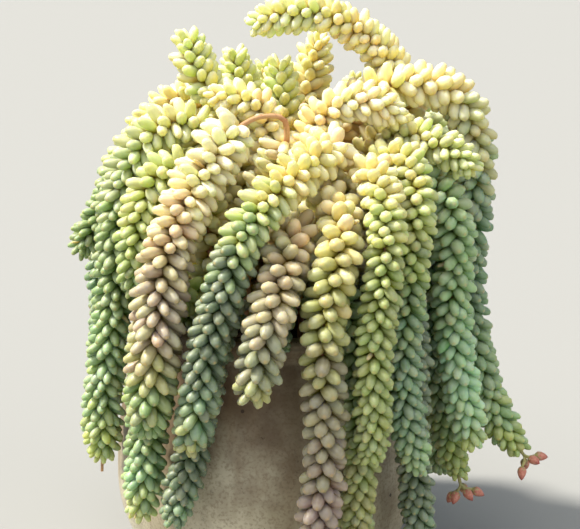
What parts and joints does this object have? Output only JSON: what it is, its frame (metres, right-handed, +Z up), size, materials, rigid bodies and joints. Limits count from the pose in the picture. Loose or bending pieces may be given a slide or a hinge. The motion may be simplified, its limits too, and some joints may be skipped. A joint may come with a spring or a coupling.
{
  "type": "potted burro's tail plant",
  "caption": "Trailing succulent in a round-bellied pot: plump-leaved tails rise from the soil, arch over the rim and hang down round the pot, some with buds at the tip.",
  "frame": {"origin": "centre of the pot's flat foot, on the surface that the pot stands on", "axes": "+Z up along the pot's axis, -Y towards the side with the most tails, +X to the right of someone who looks along +Y"},
  "size_m": [0.4018, 0.4326, 0.4849],
  "materials": {
    "pot": "weathered cream ceramic, satin, with fine dark specks",
    "soil": "dark crumbly potting soil, matte",
    "leaf_green": "plump waxy leaves, satin, fresh green",
    "leaf_lime": "plump waxy leaves, satin, yellow green in the sun",
    "leaf_cream": "plump waxy leaves, satin, pale cream yellow in full sun",
    "leaf_peach": "plump waxy leaves, satin, peach to grey beige",
    "leaf_blue": "plump waxy leaves, satin, blue green in the shade",
    "bud": "small fleshy buds, satin, salmon pink on pale stalks"
  },
  "bodies": {
    "root": {"pot": "pot", "soil": "soil", "left_tail_1": "leaf_green", "left_tail_2": "leaf_green", "left_tail_3": "leaf_blue", "left_tail_4": "leaf_lime", "crown_tail_1": "leaf_lime", "crown_tail_2": "leaf_lime", "crown_tail_3": "leaf_cream", "crown_tail_4": "leaf_cream", "crown_tail_5": "leaf_cream", "crown_tail_6": "leaf_cream", "crown_tail_7": "leaf_lime", "crown_tail_8": "leaf_lime", "crown_tail_9": "leaf_cream", "arch_tail": "leaf_cream", "right_tail_1": "leaf_lime", "right_tail_2": "leaf_blue", "right_tail_3": "leaf_blue", "right_tail_4": "leaf_cream", "front_tail_1": "leaf_peach", "front_tail_2": "leaf_green", "front_tail_3": "leaf_lime", "front_tail_4": "leaf_blue", "front_tail_5": "leaf_peach", "front_tail_6": "leaf_peach", "front_tail_7": "leaf_lime", "front_tail_8": "leaf_green", "front_tail_9": "leaf_lime", "front_tail_10": "leaf_blue", "front_tail_11": "leaf_blue", "back_tail_1": "leaf_green", "back_tail_2": "leaf_lime", "back_tail_3": "leaf_lime", "back_tail_4": "leaf_green", "back_tail_5": "leaf_green", "back_tail_6": "leaf_lime", "back_tail_7": "leaf_blue", "back_tail_8": "leaf_green", "back_tail_9": "leaf_green", "back_tail_10": "leaf_lime", "back_tail_11": "leaf_green", "short_tail_1": "leaf_cream", "short_tail_2": "leaf_lime", "short_tail_3": "leaf_lime", "short_tail_4": "leaf_green", "short_tail_5": "leaf_lime", "right_buds_1": "bud", "right_buds_2": "bud"}
  },
  "joints": []
}
